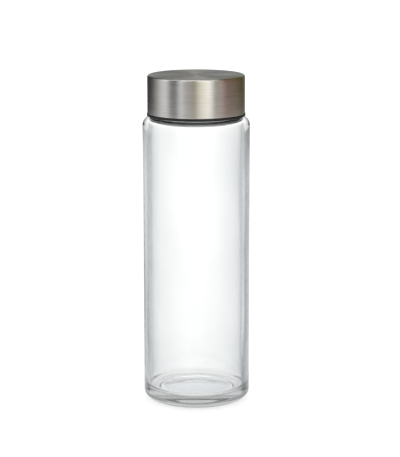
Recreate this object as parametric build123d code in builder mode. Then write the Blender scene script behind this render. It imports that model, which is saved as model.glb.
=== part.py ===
"""A clear glass water bottle with a brushed steel screw lid, in millimetres.

The origin is the centre of the underside and +Z runs up the bottle's axis. The lid is at rest fully
screwed down. Every piece is a body of revolution about +Z, apart from the two-start screw thread and the
crush ribs that hold the steel shell on its plastic liner.
"""

from build123d import *
from math import cos, radians, sin
import os

os.makedirs("parts", exist_ok=True)

# ---- Driving dimensions -------------------------------------------------------------------------------

TOTAL_HEIGHT = 200.0
BARREL_RADIUS = 32.5

# The glass barrel and shoulder
WALL = 3.0
HEEL_RADIUS = 5.3
SHOULDER_TOP_Z = 174.8
SHOULDER_RADIUS = 5.2
INNER_SHOULDER_Z = 172.3
INNER_SHOULDER_RADIUS = 2.4

# The heavy base: a flat bearing ring round a pushed-up centre
BEARING_INNER_RADIUS = 23.4
PUSH_UP_STEP = 1.3
PUSH_UP_STEP_RADIUS = 22.0
PUSH_UP_DOME_RADIUS = 21.0
PUSH_UP_HEIGHT = 2.8
PUSH_UP_FILLET = 0.5
FLOOR_EDGE_Z = 7.4
FLOOR_CROWN = 0.6
FLOOR_CORNER_RADIUS = 3.6
FLOOR_CORNER_FLAT = 0.5

# The neck, its rim and the bead below the thread
NECK_RADIUS = 25.0
NECK_FILLET = 1.0
MOUTH_RADIUS = 22.0
THROAT_RADIUS = 1.8
RIM_Z = 195.5
RIM_ROUNDING = 1.3
BEAD_Z = 177.6
BEAD_RADIUS = 1.4

# The two-start, right-hand thread: ridges on the neck and matching ridges in the liner
LEAD = 8.0
STARTS = 2
THREAD_SWEEP = 300.0
THREAD_START_Z = 182.6
THREAD_DEPTH = 1.5
THREAD_RADIAL_GAP = 0.4
RIDGE_FOOT_WIDTH = 3.4
RIDGE_CREST_WIDTH = 1.2
RIDGE_CROWN = 0.2
RIDGE_SINK = 0.6
SEATED_OFFSET = 2.1
RUN_OUT_SWEEP = 9.0
RUN_OUT_SHARES = (1.0, 0.62, 0.1)

# The lid's steel shell, drawn from one sheet
SHELL_RADIUS = 29.5
SHELL_THICKNESS = 0.5
SHELL_BOTTOM_Z = 177.0
SHELL_EDGE_RADIUS = 1.2

# The lid's black plastic liner, whose lip shows below the steel
LIP_RADIUS = 29.8
LIP_BOTTOM_Z = 175.3
LIP_ROUNDING = 0.3
LINER_SHELL_GAP = 0.15
LINER_CORNER_RADIUS = 0.7
DECK_UNDERSIDE_Z = 197.4
CRUSH_RIBS = 24
CRUSH_RIB_RADIUS = 0.5
CRUSH_INTERFERENCE = 0.03
CRUSH_RIB_BOTTOM_Z = 179.0
CRUSH_RIB_LENGTH = 17.0

# The plug under the deck and its catch, which keep the seal in its seat
PLUG_INNER_RADIUS = 18.8
PLUG_OUTER_RADIUS = 20.8
PLUG_BOTTOM_Z = 193.6
PLUG_ROUNDING = 0.5
CATCH_RADIUS = 0.55
CATCH_Z = 194.9

# The silicone seal
GASKET_INNER_RADIUS = 20.95
GASKET_OUTER_RADIUS = 26.3
GASKET_BOTTOM_Z = 195.6
GASKET_TOP_Z = 197.3
GASKET_ROUNDING = 0.4

# ---- Derived dimensions -------------------------------------------------------------------------------

INNER_RADIUS = BARREL_RADIUS - WALL
FLOOR_CROWN_RADIUS = INNER_RADIUS - FLOOR_CORNER_RADIUS - FLOOR_CORNER_FLAT
FLOOR_TOP_Z = FLOOR_EDGE_Z + FLOOR_CROWN
SHELL_INNER_RADIUS = SHELL_RADIUS - SHELL_THICKNESS
SHELL_CEILING_Z = TOTAL_HEIGHT - SHELL_THICKNESS
LINER_RADIUS = SHELL_INNER_RADIUS - LINER_SHELL_GAP
LINER_TOP_Z = SHELL_CEILING_Z - LINER_SHELL_GAP
LINER_BORE_RADIUS = NECK_RADIUS + THREAD_DEPTH + THREAD_RADIAL_GAP
LINER_CREST_RADIUS = LINER_BORE_RADIUS - THREAD_DEPTH


# ---- The thread ---------------------------------------------------------------------------------------


def thread_section(wall_radius, crest_radius, start_z, angle, share):
    """Draw one section of a thread ridge in the plane through +Z at the given angle round the axis.

    The ridge stands on the wall at wall_radius and its foot is sunk into that wall. share is 1 on the
    full ridge and falls towards 0 where the ridge fades out.
    """
    proud = crest_radius - wall_radius
    side = proud / abs(proud)
    crest_x = wall_radius + share * proud
    crown_x = crest_x - side * share * RIDGE_CROWN
    foot_x = wall_radius - side * RIDGE_SINK
    foot = share * RIDGE_FOOT_WIDTH / 2
    crest = share * RIDGE_CREST_WIDTH / 2
    turn = radians(angle)
    plane = Plane(
        origin=(0, 0, start_z + LEAD * angle / 360),
        x_dir=(cos(turn), sin(turn), 0),
        z_dir=(sin(turn), -cos(turn), 0),
    )
    with BuildSketch(plane) as section:
        with BuildLine():
            Polyline((crown_x, crest), (foot_x, foot), (foot_x, -foot), (crown_x, -crest))
            ThreePointArc((crown_x, -crest), (crest_x, 0), (crown_x, crest))
        make_face()
    return section.sketch


def thread_ridge(wall_radius, crest_radius, start_z):
    """Make one right-hand thread ridge that fades into its wall at both ends."""
    with BuildPart() as ridge:
        with BuildLine() as helix:
            Helix(LEAD, LEAD * THREAD_SWEEP / 360, wall_radius, center=(0, 0, start_z))
        full = thread_section(wall_radius, crest_radius, start_z, 0, 1)
        sweep(sections=full, path=helix.line, is_frenet=True)
        for end, step in ((0, -RUN_OUT_SWEEP), (THREAD_SWEEP, RUN_OUT_SWEEP)):
            sections = [
                thread_section(wall_radius, crest_radius, start_z, end + i * step, share)
                for i, share in enumerate(RUN_OUT_SHARES)
            ]
            loft(sections=sections)
    return ridge.part


neck_ridge = thread_ridge(NECK_RADIUS, NECK_RADIUS + THREAD_DEPTH, THREAD_START_Z)
liner_ridge = thread_ridge(LINER_BORE_RADIUS, LINER_CREST_RADIUS, THREAD_START_Z - SEATED_OFFSET)


# ---- The glass bottle ---------------------------------------------------------------------------------

with BuildPart() as bottle_body:
    with BuildSketch(Plane.XZ):
        with BuildLine():
            # From the push-up's step, round the outside, over the rim and down the inside to the floor
            FilletPolyline(
                (PUSH_UP_DOME_RADIUS, PUSH_UP_STEP),
                (PUSH_UP_STEP_RADIUS, PUSH_UP_STEP),
                (BEARING_INNER_RADIUS, 0),
                (BARREL_RADIUS, 0),
                (BARREL_RADIUS, SHOULDER_TOP_Z),
                (NECK_RADIUS, SHOULDER_TOP_Z),
                (NECK_RADIUS, RIM_Z),
                (MOUTH_RADIUS, RIM_Z),
                (MOUTH_RADIUS, INNER_SHOULDER_Z),
                (INNER_RADIUS, INNER_SHOULDER_Z),
                (INNER_RADIUS, FLOOR_EDGE_Z),
                (FLOOR_CROWN_RADIUS, FLOOR_EDGE_Z),
                radius=[
                    PUSH_UP_FILLET,
                    PUSH_UP_FILLET,
                    HEEL_RADIUS,
                    SHOULDER_RADIUS,
                    NECK_FILLET,
                    RIM_ROUNDING,
                    RIM_ROUNDING,
                    THROAT_RADIUS,
                    INNER_SHOULDER_RADIUS,
                    FLOOR_CORNER_RADIUS,
                ],
            )
            # The crowned floor, the axis and the domed push-up close the outline
            TangentArc((0, FLOOR_TOP_Z), (FLOOR_CROWN_RADIUS, FLOOR_EDGE_Z), tangent=(1, 0))
            Line((0, FLOOR_TOP_Z), (0, PUSH_UP_HEIGHT))
            TangentArc((0, PUSH_UP_HEIGHT), (PUSH_UP_DOME_RADIUS, PUSH_UP_STEP), tangent=(1, 0))
        make_face()
    revolve(axis=Axis.Z)
    with BuildSketch(Plane.XZ):
        with Locations((NECK_RADIUS, BEAD_Z)):
            Circle(BEAD_RADIUS)
    revolve(axis=Axis.Z)
    with PolarLocations(0, STARTS):
        add(neck_ridge)
bottle_body.part.label = "bottle_body"


# ---- The lid ------------------------------------------------------------------------------------------

with BuildPart() as lid_shell:
    with BuildSketch(Plane.XZ):
        with BuildLine():
            FilletPolyline(
                (SHELL_RADIUS, SHELL_BOTTOM_Z),
                (SHELL_RADIUS, TOTAL_HEIGHT),
                (0, TOTAL_HEIGHT),
                radius=[SHELL_EDGE_RADIUS],
            )
            Line((0, TOTAL_HEIGHT), (0, SHELL_CEILING_Z))
            FilletPolyline(
                (0, SHELL_CEILING_Z),
                (SHELL_INNER_RADIUS, SHELL_CEILING_Z),
                (SHELL_INNER_RADIUS, SHELL_BOTTOM_Z),
                radius=[SHELL_EDGE_RADIUS - SHELL_THICKNESS],
            )
            Line((SHELL_INNER_RADIUS, SHELL_BOTTOM_Z), (SHELL_RADIUS, SHELL_BOTTOM_Z))
        make_face()
    revolve(axis=Axis.Z)
lid_shell.part.label = "lid_shell"

with BuildPart() as lid_liner:
    with BuildSketch(Plane.XZ):
        with BuildLine():
            # From the deck's centre, over the outside to the lip, then up the bore and round the plug
            FilletPolyline(
                (0, LINER_TOP_Z),
                (LINER_RADIUS, LINER_TOP_Z),
                (LINER_RADIUS, SHELL_BOTTOM_Z),
                (LIP_RADIUS, SHELL_BOTTOM_Z),
                (LIP_RADIUS, LIP_BOTTOM_Z),
                (LINER_BORE_RADIUS, LIP_BOTTOM_Z),
                (LINER_BORE_RADIUS, DECK_UNDERSIDE_Z),
                (PLUG_OUTER_RADIUS, DECK_UNDERSIDE_Z),
                (PLUG_OUTER_RADIUS, PLUG_BOTTOM_Z),
                (PLUG_INNER_RADIUS, PLUG_BOTTOM_Z),
                (PLUG_INNER_RADIUS, DECK_UNDERSIDE_Z),
                (0, DECK_UNDERSIDE_Z),
                radius=[
                    LINER_CORNER_RADIUS,
                    0,
                    LIP_ROUNDING,
                    LIP_ROUNDING,
                    LIP_ROUNDING,
                    0,
                    0,
                    PLUG_ROUNDING,
                    PLUG_ROUNDING,
                    PLUG_ROUNDING,
                ],
            )
            Line((0, DECK_UNDERSIDE_Z), (0, LINER_TOP_Z))
        make_face()
    revolve(axis=Axis.Z)
    with BuildSketch(Plane.XZ):
        with Locations((PLUG_OUTER_RADIUS, CATCH_Z)):
            Circle(CATCH_RADIUS)
    revolve(axis=Axis.Z)
    with BuildSketch(Plane.XY.offset(CRUSH_RIB_BOTTOM_Z)):
        with PolarLocations(SHELL_INNER_RADIUS + CRUSH_INTERFERENCE - CRUSH_RIB_RADIUS, CRUSH_RIBS):
            Circle(CRUSH_RIB_RADIUS)
    extrude(amount=CRUSH_RIB_LENGTH)
    with PolarLocations(0, STARTS):
        add(liner_ridge)
lid_liner.part.label = "lid_liner"

with BuildPart() as lid_gasket:
    with BuildSketch(Plane.XZ):
        middle_radius = (GASKET_INNER_RADIUS + GASKET_OUTER_RADIUS) / 2
        middle_z = (GASKET_BOTTOM_Z + GASKET_TOP_Z) / 2
        with Locations((middle_radius, middle_z)):
            RectangleRounded(
                GASKET_OUTER_RADIUS - GASKET_INNER_RADIUS,
                GASKET_TOP_Z - GASKET_BOTTOM_Z,
                GASKET_ROUNDING,
            )
    revolve(axis=Axis.Z)
lid_gasket.part.label = "lid_gasket"


# ---- One STEP file for each piece ---------------------------------------------------------------------

export_step(bottle_body.part, "parts/bottle_body.step")
export_step(lid_shell.part, "parts/lid_shell.step")
export_step(lid_liner.part, "parts/lid_liner.step")
export_step(lid_gasket.part, "parts/lid_gasket.step")
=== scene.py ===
"""The looks of a clear glass water bottle with a brushed steel screw lid, built round its CAD frame.

All lengths are in metres. The origin is the centre of the underside and +Z runs up the bottle's axis.
Every piece is one closed mesh, turned about that axis from an outline of (radius, height) points.
"""

from math import atan2, ceil, cos, hypot, pi, radians, sin, tan

import bpy
import numpy as np
from mathutils import Matrix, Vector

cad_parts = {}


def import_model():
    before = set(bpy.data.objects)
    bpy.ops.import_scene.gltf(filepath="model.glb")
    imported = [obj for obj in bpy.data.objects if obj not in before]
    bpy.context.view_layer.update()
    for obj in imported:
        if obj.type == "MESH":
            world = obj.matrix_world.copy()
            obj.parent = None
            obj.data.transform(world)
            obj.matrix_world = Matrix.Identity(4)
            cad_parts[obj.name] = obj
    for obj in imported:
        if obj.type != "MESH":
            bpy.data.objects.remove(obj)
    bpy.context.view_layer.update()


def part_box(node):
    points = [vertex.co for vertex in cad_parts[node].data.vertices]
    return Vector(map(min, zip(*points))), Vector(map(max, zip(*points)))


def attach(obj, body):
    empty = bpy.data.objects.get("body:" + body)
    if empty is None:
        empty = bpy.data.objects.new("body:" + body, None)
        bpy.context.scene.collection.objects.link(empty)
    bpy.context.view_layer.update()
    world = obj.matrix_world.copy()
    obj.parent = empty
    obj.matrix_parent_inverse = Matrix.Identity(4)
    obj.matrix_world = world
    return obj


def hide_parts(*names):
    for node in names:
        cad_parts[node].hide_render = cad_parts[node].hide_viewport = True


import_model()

# ---- Sizes taken from the frame -----------------------------------------------------------------------

bottle_low, bottle_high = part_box("bottle_body")
shell_low, shell_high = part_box("lid_shell")
liner_low, liner_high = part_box("lid_liner")
gasket_low, gasket_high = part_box("lid_gasket")

BARREL_RADIUS = min(bottle_high.x, -bottle_low.x, bottle_high.y, -bottle_low.y)
RIM_Z = bottle_high.z
SHELL_RADIUS = min(shell_high.x, -shell_low.x, shell_high.y, -shell_low.y)
LIP_RADIUS = min(liner_high.x, -liner_low.x, liner_high.y, -liner_low.y)

# ---- Sizes of the glass -------------------------------------------------------------------------------

WALL = 0.0030
HEEL_RADIUS = 0.0053
SHOULDER_TOP_Z = 0.1748
SHOULDER_RADIUS = 0.0052
INNER_SHOULDER_Z = 0.1723
INNER_SHOULDER_RADIUS = 0.0024
BEARING_INNER_RADIUS = 0.0234
PUSH_UP_STEP = 0.0013
PUSH_UP_STEP_RADIUS = 0.0220
PUSH_UP_DOME_RADIUS = 0.0210
PUSH_UP_HEIGHT = 0.0028
PUSH_UP_FILLET = 0.0005
FLOOR_EDGE_Z = 0.0074
FLOOR_CROWN = 0.0006
FLOOR_CORNER_RADIUS = 0.0036
FLOOR_CORNER_FLAT = 0.0005
NECK_RADIUS = 0.0250
NECK_FILLET = 0.0010
MOUTH_RADIUS = 0.0220
THROAT_RADIUS = 0.0018
RIM_ROUNDING = 0.0013
BEAD_Z = 0.1776
BEAD_RADIUS = 0.0014

# The inner wall wanders and ripples between these heights, and eases in and out of it at both ends. A
# ripple is (waves round the wall, phase, radians per metre of height).
DRIFT_LOW_Z = 0.0130
DRIFT_HIGH_Z = 0.1680
DRIFT_EASE = 0.0200
INNER_WALL_DRIFT = 0.0003
INNER_WALL_RIPPLE = 0.00003
RIPPLES = ((5, 0, 9), (8, 1, -30), (13, 2, 0))

# ---- Sizes of the screw thread ------------------------------------------------------------------------

LEAD = 0.0080
STARTS = 2
THREAD_SWEEP = radians(300)
THREAD_START_Z = 0.1826
THREAD_DEPTH = 0.0015
THREAD_RADIAL_GAP = 0.0004
THREAD_HALF_WIDTH = 0.0015
THREAD_CREST_SHARE = 0.35
SEATED_OFFSET = 0.0021
RUN_OUT = radians(18)

# ---- Sizes of the lid ---------------------------------------------------------------------------------

SHELL_THICKNESS = 0.0005
SHELL_EDGE_RADIUS = 0.0012
SHELL_HEM_ROUNDING = 0.0002
LIP_ROUNDING = 0.0003
LINER_SHELL_GAP = 0.00015
LINER_CORNER_RADIUS = 0.0007
DECK_UNDERSIDE_Z = 0.1974
PLUG_INNER_RADIUS = 0.0188
PLUG_OUTER_RADIUS = 0.0208
PLUG_BOTTOM_Z = 0.1936
PLUG_ROUNDING = 0.0005
CATCH_RADIUS = 0.00055
CATCH_Z = 0.1949

# A crush rib stands where the cosine of CRUSH_RIBS times the angle is over CRUSH_RIB_COSINE
CRUSH_RIBS = 24
CRUSH_RIB_HEIGHT = 0.00012
CRUSH_RIB_COSINE = 0.9
CRUSH_RIB_BOTTOM_Z = 0.1790
CRUSH_RIB_TOP_Z = 0.1960

GASKET_INNER_RADIUS = 0.02095
GASKET_ROUNDING = 0.0004

INNER_RADIUS = BARREL_RADIUS - WALL
FLOOR_CROWN_RADIUS = INNER_RADIUS - FLOOR_CORNER_RADIUS - FLOOR_CORNER_FLAT
SHELL_INNER_RADIUS = SHELL_RADIUS - SHELL_THICKNESS
LINER_RADIUS = SHELL_INNER_RADIUS - LINER_SHELL_GAP
BORE_RADIUS = NECK_RADIUS + THREAD_DEPTH + THREAD_RADIAL_GAP

# ---- How finely the meshes are made -------------------------------------------------------------------

SEGMENTS = 288
ARC_STEP = radians(9)
LONGEST_STRETCH = 0.004
THREAD_STEP = 0.00025
DOME_STEPS = 14
BEAD_STEPS = 12
CATCH_STEPS = 8

# Points within TINY of each other are one point. A point within ON_WALL of a wall's radius is on that wall.
TINY = 1e-7
ON_WALL = 1e-5


# ---- Outlines -----------------------------------------------------------------------------------------


def fillet_arc(before, corner, after, radius):
    """The points of an arc that rounds off the corner between two straight stretches."""
    into = (corner - before) / hypot(*(corner - before))
    out = (after - corner) / hypot(*(after - corner))
    turn = atan2(into[0] * out[1] - into[1] * out[0], into @ out)
    start = corner - into * radius * tan(abs(turn) / 2)
    centre = start + np.array([-into[1], into[0]]) * np.sign(turn) * radius
    x, z = start - centre
    steps = max(3, ceil(abs(turn) / ARC_STEP))
    angles = [turn * i / steps for i in range(steps + 1)]
    return [centre + np.array([x * cos(a) - z * sin(a), x * sin(a) + z * cos(a)]) for a in angles]


def rounded(*corners):
    """Outline points through corners given as (radius, height, fillet radius)."""
    places = [np.array(corner[:2]) for corner in corners]
    points = [places[0]]
    for i in range(1, len(corners) - 1):
        fillet = corners[i][2]
        if fillet:
            points += fillet_arc(places[i - 1], places[i], places[i + 1], fillet)
        else:
            points.append(places[i])
    points.append(places[-1])
    return divided(points, LONGEST_STRETCH)


def divided(points, longest):
    """Add points along each straight stretch of an outline that is longer than longest."""
    points = [np.array(point) for point in points]
    made = [points[0]]
    for a, b in zip(points, points[1:]):
        steps = max(1, ceil(hypot(*(b - a)) / longest))
        made += [a + (b - a) * i / steps for i in range(1, steps + 1)]
    return made


def dome(edge_radius, edge_z, height):
    """Outline points of a shallow dome, from its edge to the axis."""
    shares = [1 - i / DOME_STEPS for i in range(DOME_STEPS + 1)]
    return [np.array([edge_radius * share, edge_z + height * (1 - share ** 2)]) for share in shares]


def half_bead(radius, z, bead_radius, steps):
    """Outline points of a half-round bead on an upright wall, from its lower end to its upper one."""
    angles = [pi * i / steps for i in range(steps + 1)]
    return [np.array([radius + bead_radius * sin(a), z - bead_radius * cos(a)]) for a in angles]


def joined(*stretches):
    """Join outlines end to end and drop the points that they share."""
    made = [stretches[0][0]]
    for point in (p for stretch in stretches for p in stretch):
        if hypot(*(point - made[-1])) > TINY:
            made.append(point)
    return made


# ---- Meshes -------------------------------------------------------------------------------------------


def lathe(name, outline, shape=None):
    """Turn an outline round the axis into a closed mesh object.

    The outline has the material on its left. One that starts and ends on the axis is closed by its two
    poles, and any other one is closed by joining its last point to its first. shape(radius, z, angle)
    gives each point's final radius.
    """
    outline = np.array(outline)
    poles = outline[0][0] < TINY
    rings = outline[1:-1] if poles else outline
    radius = np.repeat(rings[:, :1], SEGMENTS, axis=1)
    z = np.repeat(rings[:, 1:], SEGMENTS, axis=1)
    angle = np.tile(np.arange(SEGMENTS) * 2 * pi / SEGMENTS, (len(rings), 1))
    if shape:
        radius = shape(radius, z, angle)
    points = np.stack([radius * np.cos(angle), radius * np.sin(angle), z], axis=-1).reshape(-1, 3)
    faces = []
    for ring in range(len(rings) - 1 if poles else len(rings)):
        a = ring * SEGMENTS
        b = (ring + 1) % len(rings) * SEGMENTS
        for i in range(SEGMENTS):
            j = (i + 1) % SEGMENTS
            faces.append((a + i, a + j, b + j, b + i))
    if poles:
        first, last = len(points), len(points) + 1
        end = (len(rings) - 1) * SEGMENTS
        points = np.vstack([points, [0, 0, outline[0][1]], [0, 0, outline[-1][1]]])
        for i in range(SEGMENTS):
            j = (i + 1) % SEGMENTS
            faces.append((first, j, i))
            faces.append((last, end + i, end + j))
    return placed(name, points.tolist(), faces)


def placed(name, points, faces):
    """Make a smooth-shaded mesh object and put it in the scene."""
    mesh = bpy.data.meshes.new(name)
    mesh.from_pydata(points, [], faces)
    mesh.shade_smooth()
    made = bpy.data.objects.new(name, mesh)
    bpy.context.scene.collection.objects.link(made)
    return made


def smooth(value):
    """Ease a value from 0 to 1, and hold it at 0 below and at 1 above."""
    held = np.clip(value, 0, 1)
    return held * held * (3 - 2 * held)


def thread_height(z, angle, start_z):
    """How far the thread's ridges stand proud at each point of a wall."""
    height = np.zeros_like(z)
    for start in range(STARTS):
        turned = np.mod(angle - start * 2 * pi / STARTS, 2 * pi)
        for along in (turned - 2 * pi, turned):
            middle = start_z + LEAD * along / (2 * pi)
            fade = smooth((along + RUN_OUT) / RUN_OUT) * smooth((THREAD_SWEEP + RUN_OUT - along) / RUN_OUT)
            across = np.abs(z - middle) / THREAD_HALF_WIDTH
            height = np.maximum(height, fade * smooth((1 + THREAD_CREST_SHARE) * (1 - across)))
    return height * THREAD_DEPTH


# ---- The glass bottle ---------------------------------------------------------------------------------


def glass_shape(radius, z, angle):
    """Add the thread to the neck, and the drift and ripple that blowing leaves on the inner wall."""
    on_neck = (np.abs(radius - NECK_RADIUS) < ON_WALL) & (z > BEAD_Z + BEAD_RADIUS)
    thread = np.where(on_neck, thread_height(z, angle, THREAD_START_Z), 0)
    on_inner_wall = (np.abs(radius - INNER_RADIUS) < ON_WALL) & (z > FLOOR_EDGE_Z) & (z < INNER_SHOULDER_Z)
    ends = smooth((z - DRIFT_LOW_Z) / DRIFT_EASE) * smooth((DRIFT_HIGH_Z - z) / DRIFT_EASE)
    ripple = sum(np.sin(waves * angle + phase + twist * z) for waves, phase, twist in RIPPLES)
    drift = -INNER_WALL_DRIFT * np.cos(angle) + INNER_WALL_RIPPLE * ripple
    return radius + thread + np.where(on_inner_wall, drift * ends, 0)


def glass_bottle():
    underside = list(reversed(dome(PUSH_UP_DOME_RADIUS, PUSH_UP_STEP, PUSH_UP_HEIGHT - PUSH_UP_STEP)))
    outside = rounded(
        (PUSH_UP_DOME_RADIUS, PUSH_UP_STEP, 0),
        (PUSH_UP_STEP_RADIUS, PUSH_UP_STEP, PUSH_UP_FILLET),
        (BEARING_INNER_RADIUS, 0, PUSH_UP_FILLET),
        (BARREL_RADIUS, 0, HEEL_RADIUS),
        (BARREL_RADIUS, SHOULDER_TOP_Z, SHOULDER_RADIUS),
        (NECK_RADIUS, SHOULDER_TOP_Z, NECK_FILLET),
        (NECK_RADIUS, BEAD_Z - BEAD_RADIUS, 0),
    )
    bead = half_bead(NECK_RADIUS, BEAD_Z, BEAD_RADIUS, BEAD_STEPS)
    threaded = divided(
        [(NECK_RADIUS, BEAD_Z + BEAD_RADIUS), (NECK_RADIUS, RIM_Z - RIM_ROUNDING)], THREAD_STEP
    )
    inside = rounded(
        (NECK_RADIUS, RIM_Z - RIM_ROUNDING - TINY, 0),
        (NECK_RADIUS, RIM_Z, RIM_ROUNDING),
        (MOUTH_RADIUS, RIM_Z, RIM_ROUNDING),
        (MOUTH_RADIUS, INNER_SHOULDER_Z, THROAT_RADIUS),
        (INNER_RADIUS, INNER_SHOULDER_Z, INNER_SHOULDER_RADIUS),
        (INNER_RADIUS, FLOOR_EDGE_Z, FLOOR_CORNER_RADIUS),
        (FLOOR_CROWN_RADIUS, FLOOR_EDGE_Z, 0),
    )
    floor_crown = dome(FLOOR_CROWN_RADIUS, FLOOR_EDGE_Z, FLOOR_CROWN)
    outline = joined(underside, outside, bead, threaded, inside, floor_crown)
    return lathe("glass_bottle", outline, glass_shape)


# ---- The lid ------------------------------------------------------------------------------------------


def steel_cap():
    top, bottom = shell_high.z, shell_low.z
    ceiling = top - SHELL_THICKNESS
    outline = rounded(
        (0, ceiling, 0),
        (SHELL_INNER_RADIUS, ceiling, SHELL_EDGE_RADIUS - SHELL_THICKNESS),
        (SHELL_INNER_RADIUS, bottom, SHELL_HEM_ROUNDING),
        (SHELL_RADIUS, bottom, SHELL_HEM_ROUNDING),
        (SHELL_RADIUS, top, SHELL_EDGE_RADIUS),
        (0, top, 0),
    )
    return lathe("steel_cap", outline)


def liner_shape(radius, z, angle):
    """Add the thread to the bore, and the crush ribs that grip the steel shell to the outside."""
    on_bore = (np.abs(radius - BORE_RADIUS) < ON_WALL) & (z < DECK_UNDERSIDE_Z - THREAD_DEPTH)
    thread = np.where(on_bore, thread_height(z, angle, THREAD_START_Z - SEATED_OFFSET), 0)
    on_side = (np.abs(radius - LINER_RADIUS) < ON_WALL) & (z > CRUSH_RIB_BOTTOM_Z) & (z < CRUSH_RIB_TOP_Z)
    on_rib = np.cos(CRUSH_RIBS * angle) > CRUSH_RIB_COSINE
    rib = np.where(on_side, CRUSH_RIB_HEIGHT * on_rib, 0)
    return radius - thread + rib


def cap_liner():
    top, bottom, ledge = liner_high.z, liner_low.z, shell_low.z
    plug = rounded(
        (0, DECK_UNDERSIDE_Z, 0),
        (PLUG_INNER_RADIUS, DECK_UNDERSIDE_Z, PLUG_ROUNDING),
        (PLUG_INNER_RADIUS, PLUG_BOTTOM_Z, PLUG_ROUNDING),
        (PLUG_OUTER_RADIUS, PLUG_BOTTOM_Z, PLUG_ROUNDING),
        (PLUG_OUTER_RADIUS, CATCH_Z - CATCH_RADIUS, 0),
    )
    catch = half_bead(PLUG_OUTER_RADIUS, CATCH_Z, CATCH_RADIUS, CATCH_STEPS)
    seat = rounded(
        (PLUG_OUTER_RADIUS, CATCH_Z + CATCH_RADIUS, 0),
        (PLUG_OUTER_RADIUS, DECK_UNDERSIDE_Z, 0),
        (BORE_RADIUS, DECK_UNDERSIDE_Z, 0),
    )
    bore = divided([(BORE_RADIUS, DECK_UNDERSIDE_Z), (BORE_RADIUS, bottom + LIP_ROUNDING)], THREAD_STEP)
    outside = rounded(
        (BORE_RADIUS, bottom + LIP_ROUNDING + TINY, 0),
        (BORE_RADIUS, bottom, LIP_ROUNDING),
        (LIP_RADIUS, bottom, LIP_ROUNDING),
        (LIP_RADIUS, ledge, LIP_ROUNDING),
        (LINER_RADIUS, ledge, 0),
        (LINER_RADIUS, CRUSH_RIB_BOTTOM_Z, 0),
        (LINER_RADIUS, CRUSH_RIB_BOTTOM_Z + CRUSH_RIB_HEIGHT, 0),
        (LINER_RADIUS, CRUSH_RIB_TOP_Z - CRUSH_RIB_HEIGHT, 0),
        (LINER_RADIUS, CRUSH_RIB_TOP_Z, 0),
        (LINER_RADIUS, top, LINER_CORNER_RADIUS),
        (0, top, 0),
    )
    return lathe("cap_liner", joined(plug, catch, seat, bore, outside), liner_shape)


def cap_gasket():
    outer = min(gasket_high.x, -gasket_low.x, gasket_high.y, -gasket_low.y)
    low, high = gasket_low.z, gasket_high.z
    middle = (low + high) / 2
    outline = rounded(
        (GASKET_INNER_RADIUS, middle, 0),
        (GASKET_INNER_RADIUS, low, GASKET_ROUNDING),
        (outer, low, GASKET_ROUNDING),
        (outer, high, GASKET_ROUNDING),
        (GASKET_INNER_RADIUS, high, GASKET_ROUNDING),
        (GASKET_INNER_RADIUS, middle, 0),
    )
    return lathe("cap_gasket", outline[:-1])


# ---- Materials ----------------------------------------------------------------------------------------


class Shader:
    """A material with its node tree, and short ways to add nodes to it."""

    def __init__(self, name):
        self.material = bpy.data.materials.new(name)
        self.material.use_nodes = True
        self.tree = self.material.node_tree
        self.surface = self.tree.nodes["Principled BSDF"]
        self.output = self.tree.nodes["Material Output"]

    def fill(self, node, inputs):
        """Set a node's inputs, each to a value or to another node's output."""
        for socket, value in inputs.items():
            if isinstance(value, bpy.types.NodeSocket):
                self.tree.links.new(value, node.inputs[socket])
            else:
                node.inputs[socket].default_value = value

    def add(self, kind, inputs, **settings):
        node = self.tree.nodes.new("ShaderNode" + kind)
        for setting, value in settings.items():
            setattr(node, setting, value)
        self.fill(node, inputs)
        return node

    def math(self, operation, *values):
        return self.add("Math", dict(enumerate(values)), operation=operation).outputs[0]

    def times(self, first, second):
        return self.math("MULTIPLY", first, second)

    def rescale(self, value, low, high, to_low=0.0, to_high=1.0):
        """Ease a value from to_low at low to to_high at high."""
        inputs = {"Value": value, "From Min": low, "From Max": high, "To Min": to_low, "To Max": to_high}
        return self.add("MapRange", inputs, interpolation_type="SMOOTHSTEP").outputs[0]

    def blend(self, factor, first, second):
        """Blend two colours by a factor that varies over the surface."""
        return self.add("Mix", {"Factor": factor, 6: first, 7: second}, data_type="RGBA").outputs[2]

    def ramp(self, value, stops):
        """The colour at a value from 0 to 1, between stops of (value, colour) in rising order."""
        node = self.add("ValToRGB", {"Fac": value})
        elements = node.color_ramp.elements
        for position, _ in stops[1:-1]:
            elements.new(position)
        for element, (_, colour) in zip(elements, stops):
            element.color = (*colour, 1)
        return node.outputs["Color"]

    def noise(self, vector, scale, detail):
        inputs = {"Vector": vector, "Scale": scale, "Detail": detail}
        return self.add("TexNoise", inputs).outputs["Fac"]

    def stretched(self, vector, factor):
        """A position with its height multiplied by a factor."""
        return self.add("VectorMath", {0: vector, 1: (1.0, 1.0, factor)}, operation="MULTIPLY").outputs[0]

    def place(self):
        """The position in the piece's own frame: the vector, the height and the distance from the axis."""
        vector = self.add("TexCoord", {}).outputs["Object"]
        height = self.add("SeparateXYZ", {"Vector": vector}).outputs["Z"]
        flat = self.stretched(vector, 0.0)
        radius = self.add("VectorMath", {0: flat}, operation="LENGTH").outputs["Value"]
        return vector, height, radius

    def lean(self):
        """1 where the surface faces straight up or down, and 0 where it is upright."""
        normal = self.add("TexCoord", {}).outputs["Normal"]
        return self.math("ABSOLUTE", self.add("SeparateXYZ", {"Vector": normal}).outputs["Z"])

    def bumps(self, height, distance, strength):
        inputs = {"Height": height, "Distance": distance, "Strength": strength}
        return self.add("Bump", inputs).outputs["Normal"]

    def glow(self, colour):
        """Give the material an even glow in place of its surface."""
        light = self.add("Emission", {"Color": colour})
        self.tree.links.new(light.outputs[0], self.output.inputs["Surface"])

    def paint(self, piece):
        piece.data.materials.clear()
        piece.data.materials.append(self.material)


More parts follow.
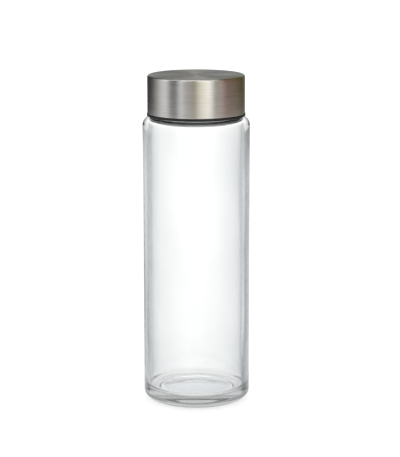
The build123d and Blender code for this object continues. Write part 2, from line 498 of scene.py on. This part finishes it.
# In the materials below, a noise is (scale, detail) and a bump is (distance, strength). A pair of heights,
# radii, distances, noise values or facing values says where a mask sets in and where it is complete. A pair
# of roughnesses is the lowest and the highest one.

# Most of a noise lies between these values
NOISE_RANGE = (0.3, 0.7)

# Painted shade on the glass: how light it is painted, from seen face on at 0 to seen edge on at 1, in place
# of the dark edges that its surroundings would give. The powers turn it slightly blue-green.
PAINTED_EDGE_SHADES = (
    (0.00, 1.00),
    (0.30, 0.88),
    (0.48, 0.74),
    (0.57, 0.58),
    (0.62, 0.36),
    (0.69, 0.40),
    (0.85, 0.38),
    (1.00, 0.55),
)
RED_POWER = 1.10
BLUE_POWER = 0.96
EDGE_SHADE_ABOVE_BASE = (0.0002, 0.0045)
EDGE_SHADE_BELOW_SHOULDER = (0.1745, 0.1660)
WOBBLE_STRETCH = 0.5
WOBBLE_NOISE = (45, 1.0)
WOBBLE = 0.035

# Painted shade: the darker edges on the +X side, towards the base and at the heel, and how much each takes
PAINTED_DARK_EDGE_COLOUR = (0.045, 0.065, 0.075, 1)
DARK_SIDE_SHARE = 0.72
DARK_FOOT = (0.10, 0.06)
DARK_FOOT_SHARE = 0.4
DARK_EDGE_FACING = (0.50, 0.58)
HEEL_MASK = (HEEL_RADIUS + 0.0005, HEEL_RADIUS - 0.0008)
HEEL_SHARE = 0.6
HEEL_FACING = (0.10, 0.30)

# Painted shade over the middle of the base, which darkens the view through it
PAINTED_BASE_SHADE = (0.80, 0.835, 0.87, 1)
PAINTED_BASE_SHADE_HEIGHTS = (0.0095, 0.0085)
PAINTED_BASE_SHADE_RADII = (0.0215, 0.0205)

GLASS_COLOUR = (0.655, 0.665, 0.665, 1)
GLASS_DENSITY = 42
GLASS_IOR = 1.5
GLASS_BUMP = (0.0004, 0.18)
OUTSIDE_MARGIN = 0.0005
WAVE_STRETCH = 0.25
WAVE_NOISE = (60, 1.0)
SMUDGE_NOISE = (38, 5.0)
SMUDGE_RANGE = (0.6, 0.75)
SMUDGE_ROUGHNESS = 0.025
BEARING_HEIGHTS = (0.0008, 0.0003)
BEARING_MARGIN = 0.0004
BEARING_ROUGHNESS = 0.75
STIPPLE_NOISE = (1400, 2.0)
SEAM_ANGLE = radians(12)
SEAM_HALF_WIDTH = 0.0004
SEAM_HEIGHT = 0.12


def painted_glass_shade(shader, vector, height, radius, on_outside):
    """Painted shade on the glass, in place of the dark edges that its surroundings would give: it deepens
    where an upright wall is seen edge on, and a second painted shade darkens the middle of the base.

    The painted edges are darker on the outside towards +X and towards the base, and at the heel.
    """
    facing = shader.add("LayerWeight", {"Blend": 0.5}).outputs["Facing"]
    upright = shader.math("SUBTRACT", 1.0, shader.lean())
    above_base = shader.rescale(height, *EDGE_SHADE_ABOVE_BASE)
    below_shoulder = shader.rescale(height, *EDGE_SHADE_BELOW_SHOULDER)
    on_barrel = shader.times(above_base, below_shoulder)
    edge = shader.times(facing, shader.times(upright, on_barrel))
    uneven = shader.noise(shader.stretched(vector, WOBBLE_STRETCH), *WOBBLE_NOISE)
    wobble = shader.rescale(uneven, *NOISE_RANGE, -WOBBLE, WOBBLE)
    wavy_edge = shader.math("ADD", edge, wobble)
    # Painted shade: the glass is painted darker where a wall is seen edge on
    edge_shade_stops = [(place, (shade ** RED_POWER, shade, shade ** BLUE_POWER)) for place, shade in PAINTED_EDGE_SHADES]
    edge_shade = shader.ramp(wavy_edge, edge_shade_stops)

    # Painted shade: the edges are painted darker still on the +X side, towards the base and at the heel
    sideways = shader.add("SeparateXYZ", {"Vector": vector}).outputs["X"]
    dark_side = shader.rescale(sideways, 0.0, BARREL_RADIUS, 0.0, DARK_SIDE_SHARE)
    dark_foot = shader.rescale(height, *DARK_FOOT, 0.0, DARK_FOOT_SHARE)
    dark_side_or_foot = shader.times(on_outside, shader.math("MAXIMUM", dark_side, dark_foot))
    dark_edge_shade = shader.times(dark_side_or_foot, shader.rescale(wavy_edge, *DARK_EDGE_FACING))
    on_heel = shader.rescale(height, *HEEL_MASK, 0.0, HEEL_SHARE)
    heel_shade = shader.times(on_heel, shader.rescale(edge, *HEEL_FACING))
    painted_dark_edge = shader.math("MAXIMUM", dark_edge_shade, heel_shade)
    wall_colour = shader.blend(painted_dark_edge, edge_shade, PAINTED_DARK_EDGE_COLOUR)

    # Painted shade: the middle of the base is painted darker
    low_enough = shader.rescale(height, *PAINTED_BASE_SHADE_HEIGHTS)
    near_axis = shader.rescale(radius, *PAINTED_BASE_SHADE_RADII)
    return shader.blend(shader.times(low_enough, near_axis), wall_colour, PAINTED_BASE_SHADE)


def glass_relief(shader, vector, on_outside, on_bearing):
    """Faint waves, two mould seams down the outside and the stipple of the bearing ring."""
    waves = shader.noise(shader.stretched(vector, WAVE_STRETCH), *WAVE_NOISE)
    across_seams = (sin(SEAM_ANGLE), cos(SEAM_ANGLE), 0)
    dot = shader.add("VectorMath", {0: vector, 1: across_seams}, operation="DOT_PRODUCT")
    from_seam = shader.math("ABSOLUTE", dot.outputs["Value"])
    near_seam = shader.rescale(from_seam, SEAM_HALF_WIDTH, 0.0, 0.0, SEAM_HEIGHT)
    seam = shader.times(near_seam, on_outside)
    stipple = shader.times(on_bearing, shader.noise(vector, *STIPPLE_NOISE))
    return shader.math("ADD", shader.math("ADD", waves, seam), stipple)


def clear_glass():
    """Clear glass, wavy and smudged, that absorbs a little of the light in its volume, with a faintly
    tinted painted shade where its walls are seen edge on and over the middle of its base.
    """
    shader = Shader("clear_glass")
    vector, height, radius = shader.place()
    on_outside = shader.math("GREATER_THAN", radius, BARREL_RADIUS - OUTSIDE_MARGIN)
    past_push_up = shader.math("GREATER_THAN", radius, BEARING_INNER_RADIUS - BEARING_MARGIN)
    on_bearing = shader.times(shader.rescale(height, *BEARING_HEIGHTS), past_push_up)
    smudges = shader.rescale(shader.noise(vector, *SMUDGE_NOISE), *SMUDGE_RANGE, 0.0, SMUDGE_ROUGHNESS)
    relief = glass_relief(shader, vector, on_outside, on_bearing)
    # The base colour carries the painted shade of the edges and of the base
    shader.fill(
        shader.surface,
        {
            "Base Color": painted_glass_shade(shader, vector, height, radius, on_outside),
            "Roughness": shader.math("MAXIMUM", smudges, shader.times(on_bearing, BEARING_ROUGHNESS)),
            "IOR": GLASS_IOR,
            "Transmission Weight": 1,
            "Normal": shader.bumps(relief, *GLASS_BUMP),
        },
    )
    absorption = shader.add("VolumeAbsorption", {"Color": GLASS_COLOUR, "Density": GLASS_DENSITY})
    shader.tree.links.new(absorption.outputs[0], shader.output.inputs["Volume"])
    return shader


STEEL_DARK = (0.53, 0.52, 0.505, 1)
STEEL_LIGHT = (0.63, 0.62, 0.605, 1)
STEEL_WORN = (0.80, 0.79, 0.77, 1)
STEEL_BUMP = (0.00005, 0.03)
STEEL_ANISOTROPY = 0.9
STEEL_ROTATION = 0.25
STREAK_FINENESS = 110.0
STREAK_NOISE = (60, 6.0)
HAIRLINE_FINENESS = 320.0
HAIRLINE_NOISE = (90, 3.0)
HAIRLINE_SHARE = 0.6
RIM_HEIGHTS = (shell_high.z - 0.0016, shell_high.z - 0.0007)
RIM_RADII = (shell_high.x - 0.0016, shell_high.x - 0.0008)
HEM_HEIGHTS = (shell_low.z + 0.0006, shell_low.z + 0.0001)
WEAR_NOISE = (130, 3.0)
WEAR_RANGE = (0.35, 0.6)
LEAST_WEAR = 0.35
WEAR_POLISH = 0.10
MARK_NOISE = (55, 4.0)
MARK_RANGE = (0.55, 0.72)
MARK_ROUGHNESS = 0.06
GRAIN_ROUGHNESS = (0.27, 0.34)


def brushing(shader, vector, height, radius, fineness, noise):
    """Noise drawn out round the axis into streaks, on the side and on the top alike."""
    parts = shader.add("SeparateXYZ", {"Vector": vector}).outputs
    across = shader.times(shader.math("SUBTRACT", height, radius), fineness)
    drawn_out = shader.add("CombineXYZ", {"X": parts["X"], "Y": parts["Y"], "Z": across}).outputs[0]
    return shader.noise(drawn_out, *noise)


def brushed_steel():
    """Stainless steel brushed round the axis, with polished edges, hairlines and fingermarks."""
    shader = Shader("brushed_steel")
    vector, height, radius = shader.place()
    streaks = brushing(shader, vector, height, radius, STREAK_FINENESS, STREAK_NOISE)
    hairlines = brushing(shader, vector, height, radius, HAIRLINE_FINENESS, HAIRLINE_NOISE)

    rim = shader.times(shader.rescale(height, *RIM_HEIGHTS), shader.rescale(radius, *RIM_RADII))
    hem = shader.rescale(height, *HEM_HEIGHTS)
    patchy = shader.rescale(shader.noise(vector, *WEAR_NOISE), *WEAR_RANGE, LEAST_WEAR, 1.0)
    worn = shader.times(shader.math("MAXIMUM", rim, hem), patchy)
    marks = shader.rescale(shader.noise(vector, *MARK_NOISE), *MARK_RANGE, 0.0, MARK_ROUGHNESS)
    marked = shader.math("ADD", shader.rescale(streaks, *NOISE_RANGE, *GRAIN_ROUGHNESS), marks)
    shade = shader.blend(shader.rescale(streaks, *NOISE_RANGE), STEEL_DARK, STEEL_LIGHT)
    relief = shader.math("ADD", streaks, shader.times(hairlines, HAIRLINE_SHARE))
    shader.fill(
        shader.surface,
        {
            "Base Color": shader.blend(worn, shade, STEEL_WORN),
            "Metallic": 1,
            "Roughness": shader.math("SUBTRACT", marked, shader.times(worn, WEAR_POLISH)),
            "Anisotropic": STEEL_ANISOTROPY,
            "Anisotropic Rotation": STEEL_ROTATION,
            "Tangent": shader.add("Tangent", {}, direction_type="RADIAL", axis="Z").outputs[0],
            "Normal": shader.bumps(relief, *STEEL_BUMP),
        },
    )
    return shader


PLASTIC_BLACK = (0.010, 0.010, 0.011, 1)
PLASTIC_SCUFFED = (0.030, 0.030, 0.031, 1)
# Painted light: the liner's inside, the same plastic as the lip, painted a lighter grey
PAINTED_LIGHT_INSIDE = (0.29, 0.30, 0.31, 1)
PLASTIC_GRAIN_NOISE = (3000, 2.0)
PLASTIC_ROUGHNESS = (0.34, 0.48)
PLASTIC_SPECULAR = 0.25
PLASTIC_BUMP = (0.00003, 0.2)
FLOW_STRETCH = 6.0
FLOW_NOISE = (160, 3.0)
SCUFF_HEIGHTS = (liner_low.z + 0.0004, liner_low.z)
SCUFF_NOISE = (420, 4.0)
SCUFF_RANGE = (0.45, 0.65)
INSIDE_RADII = (LIP_RADIUS - 0.0001, LIP_RADIUS - 0.0004)


def black_plastic():
    """Satin plastic: a black lip that scuffs grey on its lower edge, round an inside of the same plastic
    painted a lighter grey as painted light.
    """
    shader = Shader("black_plastic")
    vector, height, radius = shader.place()
    grain = shader.noise(vector, *PLASTIC_GRAIN_NOISE)
    flow = shader.noise(shader.stretched(vector, FLOW_STRETCH), *FLOW_NOISE)
    lower_edge = shader.rescale(height, *SCUFF_HEIGHTS)
    scuffs = shader.times(lower_edge, shader.rescale(shader.noise(vector, *SCUFF_NOISE), *SCUFF_RANGE))
    lip = shader.blend(scuffs, PLASTIC_BLACK, PLASTIC_SCUFFED)
    # Painted light: the inside is painted lighter grey than the black lip
    inside = shader.rescale(radius, *INSIDE_RADII)
    shader.fill(
        shader.surface,
        {
            "Base Color": shader.blend(inside, lip, PAINTED_LIGHT_INSIDE),
            "Roughness": shader.rescale(flow, *NOISE_RANGE, *PLASTIC_ROUGHNESS),
            "Specular IOR Level": PLASTIC_SPECULAR,
            "Normal": shader.bumps(shader.math("ADD", grain, flow), *PLASTIC_BUMP),
        },
    )
    return shader


SILICONE_CLEAN = (0.82, 0.83, 0.82, 1)
SILICONE_AGED = (0.74, 0.73, 0.69, 1)
SILICONE_AGED_NOISE = (120, 3.0)
SILICONE_AGED_RANGE = (0.4, 0.7)
SILICONE_GRAIN_NOISE = (2200, 2.0)
SILICONE_GRAIN_SHARE = 0.4
SILICONE_ROUGHNESS = (0.42, 0.58)
SILICONE_TRANSMISSION = 0.2
SILICONE_BUMP = (0.00004, 0.6)
PRESSED_RADIUS = (NECK_RADIUS + MOUTH_RADIUS) / 2
PRESSED_HALF_WIDTHS = (0.0008, 0.0005)


def silicone():
    """Matt translucent silicone, a little yellowed in places, with a line where the rim presses."""
    shader = Shader("silicone")
    vector, _, radius = shader.place()
    aged = shader.rescale(shader.noise(vector, *SILICONE_AGED_NOISE), *SILICONE_AGED_RANGE)
    grain = shader.noise(vector, *SILICONE_GRAIN_NOISE)
    from_line = shader.math("ABSOLUTE", shader.math("SUBTRACT", radius, PRESSED_RADIUS))
    pressed = shader.rescale(from_line, *PRESSED_HALF_WIDTHS)
    relief = shader.math("SUBTRACT", shader.times(grain, SILICONE_GRAIN_SHARE), pressed)
    shader.fill(
        shader.surface,
        {
            "Base Color": shader.blend(aged, SILICONE_CLEAN, SILICONE_AGED),
            "Roughness": shader.rescale(grain, *NOISE_RANGE, *SILICONE_ROUGHNESS),
            "Transmission Weight": SILICONE_TRANSMISSION,
            "Normal": shader.bumps(relief, *SILICONE_BUMP),
        },
    )
    return shader


# ---- The studio ---------------------------------------------------------------------------------------

CAMERA_DISTANCE = 1.050
CAMERA_HEIGHT = 0.320
CAMERA_PITCH = 0.1873
CAMERA_ROLL = -0.0021
CAMERA_LENS = 138.04
CAMERA_SHIFT_X = 0.0080
CAMERA_SHIFT_Y = -0.0547
CAMERA_NEAR = 0.01
CAMERA_FAR = 50

WHITE = (1, 1, 1, 1)
WORLD_STRENGTH = 1.45
FLOOR_HALF_SIZE = 8
FLOOR_GAP = 0.0003
FLOOR_COLOUR = (0.26, 0.26, 0.26, 1)
FLOOR_ROUGHNESS = 0.7
FLOOR_SPECULAR = 0.1
FLOOR_GLOW = 0.73


def camera():
    data = bpy.data.cameras.new("camera")
    data.lens = CAMERA_LENS
    data.shift_x = CAMERA_SHIFT_X
    data.shift_y = CAMERA_SHIFT_Y
    data.clip_start = CAMERA_NEAR
    data.clip_end = CAMERA_FAR
    eye = bpy.data.objects.new("camera", data)
    eye.location = (0, -CAMERA_DISTANCE, CAMERA_HEIGHT)
    turn = Matrix.Rotation(pi / 2 - CAMERA_PITCH, 3, "X") @ Matrix.Rotation(CAMERA_ROLL, 3, "Z")
    eye.rotation_euler = turn.to_euler()
    bpy.context.scene.collection.objects.link(eye)
    bpy.context.scene.camera = eye


def floor():
    """A floor just under the bottle, which looks almost white because it glows like a light table."""
    size, z = FLOOR_HALF_SIZE, -FLOOR_GAP
    corners = [(-size, -size, z), (size, -size, z), (size, size, z), (-size, size, z)]
    plane = placed("floor", corners, [(0, 1, 2, 3)])
    shader = Shader("pale_floor")
    shader.fill(
        shader.surface,
        {
            "Base Color": FLOOR_COLOUR,
            "Roughness": FLOOR_ROUGHNESS,
            "Specular IOR Level": FLOOR_SPECULAR,
            "Emission Color": WHITE,
            "Emission Strength": FLOOR_GLOW,
        },
    )
    shader.paint(plane)


def world():
    made = bpy.data.worlds.new("studio")
    made.use_nodes = True
    back = made.node_tree.nodes["Background"]
    back.inputs["Color"].default_value = WHITE
    back.inputs["Strength"].default_value = WORLD_STRENGTH
    bpy.context.scene.world = made


# The panels round the set, as (azimuth in degrees, colour). Azimuths run from the camera's side, positive
# to the right.
PANELS = (
    (-180, (0.31, 0.31, 0.30)),
    (-171, (0.28, 0.28, 0.27)),
    (-165, (0.36, 0.36, 0.36)),
    (-158, (0.26, 0.26, 0.26)),
    (-150, (0.05, 0.05, 0.05)),
    (-128, (0.05, 0.05, 0.05)),
    (-114, (0.08, 0.08, 0.08)),
    (-98, (0.35, 0.35, 0.34)),
    (-82, (0.84, 0.84, 0.83)),
    (-69, (0.96, 0.96, 0.95)),
    (-55, (0.14, 0.14, 0.14)),
    (-45, (0.12, 0.12, 0.13)),
    (-33, (0.96, 0.96, 0.97)),
    (-22, (0.52, 0.51, 0.49)),
    (-3, (0.34, 0.29, 0.19)),
    (8, (1.08, 1.03, 0.82)),
    (28, (1.64, 1.60, 1.47)),
    (42, (0.41, 0.40, 0.36)),
    (55, (0.47, 0.38, 0.31)),
    (70, (0.20, 0.08, 0.05)),
    (98, (0.14, 0.09, 0.03)),
    (128, (0.09, 0.07, 0.02)),
    (160, (0.22, 0.23, 0.20)),
    (168, (0.26, 0.27, 0.25)),
    (173, (0.38, 0.40, 0.38)),
    (177, (0.32, 0.32, 0.31)),
)
PANEL_RADIUS = 0.15
PANEL_TOP = 0.45
PANEL_FADE_BOTTOM = 0.11
PANEL_FADE_TOP = 0.16
HOOD_RADIUS = 0.16
HOOD_BOTTOM = 0.20
HOOD_TOP = 1.20
HOOD_COLOUR = (0.30, 0.30, 0.30, 1)
HOOD_HALF_ANGLE = radians(80)
ROUND_STEPS = 96


def upright_band(name, radius, low, high, start, sweep):
    """Part of an upright cylinder, as a mesh object. Its angles run from +X towards +Y."""
    steps = ceil(ROUND_STEPS * sweep / (2 * pi))
    angles = [start + sweep * i / steps for i in range(steps + 1)]
    points = [(radius * cos(a), radius * sin(a), z) for z in (low, high) for a in angles]
    row = steps + 1
    faces = [(i, i + 1, row + i + 1, row + i) for i in range(steps)]
    return placed(name, points, faces)


def shown_to_reflections(piece):
    """Show a stage piece to reflections only."""
    piece.visible_camera = False
    piece.visible_diffuse = False
    piece.visible_transmission = False
    piece.visible_shadow = False


def panels():
    """A ring of soft panels and flags for the lid to reflect, which fades to white beside the glass.

    The ring is turned so that its angle 0 is on the camera's side.
    """
    ring = upright_band("panels", PANEL_RADIUS, 0, PANEL_TOP, 0, 2 * pi)
    ring.rotation_euler = (0, 0, -pi / 2)
    shader = Shader("panels")
    place = shader.add("TexCoord", {}).outputs["Object"]
    around = shader.add("TexGradient", {"Vector": place}, gradient_type="RADIAL").outputs["Fac"]
    stops = [((azimuth + 180) / 360, colour) for azimuth, colour in PANELS]
    stops.append((1, PANELS[0][1]))
    bands = shader.ramp(around, stops)
    height = shader.add("SeparateXYZ", {"Vector": place}).outputs["Z"]
    above_glass = shader.rescale(height, PANEL_FADE_BOTTOM, PANEL_FADE_TOP)
    shader.glow(shader.blend(above_glass, WHITE, bands))
    shader.paint(ring)
    shown_to_reflections(ring)


def hood():
    """A tall grey flag behind the set, which the lid's top reflects."""
    start = pi / 2 - HOOD_HALF_ANGLE
    flag = upright_band("hood", HOOD_RADIUS, HOOD_BOTTOM, HOOD_TOP, start, 2 * HOOD_HALF_ANGLE)
    shader = Shader("hood")
    shader.glow(HOOD_COLOUR)
    shader.paint(flag)
    shown_to_reflections(flag)


bpy.context.scene.view_settings.view_transform = "Standard"
camera()
floor()
world()
panels()
hood()

for piece, shader, body, node, slot in (
    (glass_bottle(), clear_glass(), "bottle", "bottle_body", "clear_glass"),
    (steel_cap(), brushed_steel(), "lid", "lid_shell", "brushed_steel"),
    (cap_liner(), black_plastic(), "lid", "lid_liner", "black_plastic"),
    (cap_gasket(), silicone(), "seal", "lid_gasket", "silicone"),
):
    shader.paint(piece)
    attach(piece, body)
    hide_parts(node)
